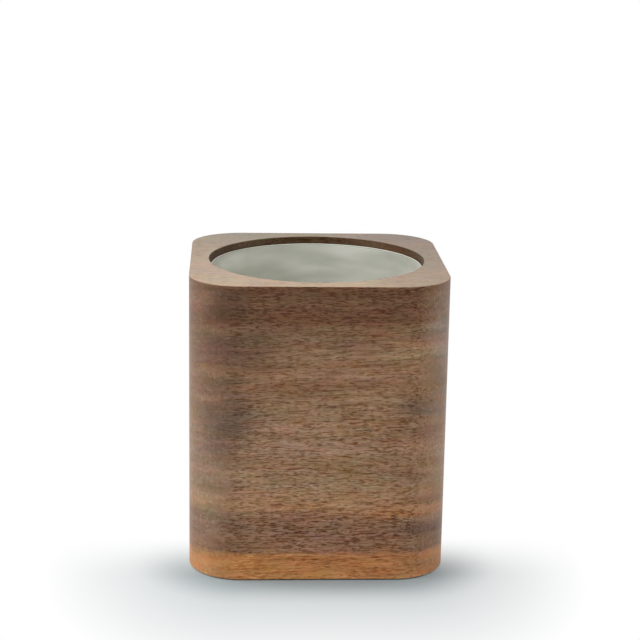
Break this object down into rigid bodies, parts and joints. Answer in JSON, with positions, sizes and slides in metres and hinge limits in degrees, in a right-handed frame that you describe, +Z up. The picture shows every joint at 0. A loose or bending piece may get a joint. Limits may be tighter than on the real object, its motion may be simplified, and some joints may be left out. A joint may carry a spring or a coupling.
{
  "type": "pen cup",
  "caption": "Square walnut pen cup with rounded upright corners, a round bore lined with a thin drawn steel cup set just below the top face, and a cork pad let into the underside.",
  "frame": {"origin": "middle of the cork pad's underside, where the cup stands on the desk", "axes": "+Z up along the bore, front face towards -Y, +X to the right when facing the front"},
  "size_m": [0.086, 0.086, 0.1003],
  "materials": {
    "walnut": "sanded black walnut with a thin satin oil, grain level and left to right across the front",
    "liner_steel": "deep-drawn stainless sheet, satin inside, trimmed edge rounded over",
    "foam_tape": "white closed-cell foam with acrylic adhesive on both faces",
    "cork": "agglomerated cork sheet, sanded",
    "adhesive_film": "clear amber pressure-sensitive film"
  },
  "bodies": {
    "root": {"walnut_block": "walnut", "steel_liner": "liner_steel", "liner_tape": "foam_tape", "cork_pad": "cork", "pad_film": "adhesive_film"}
  },
  "joints": []
}
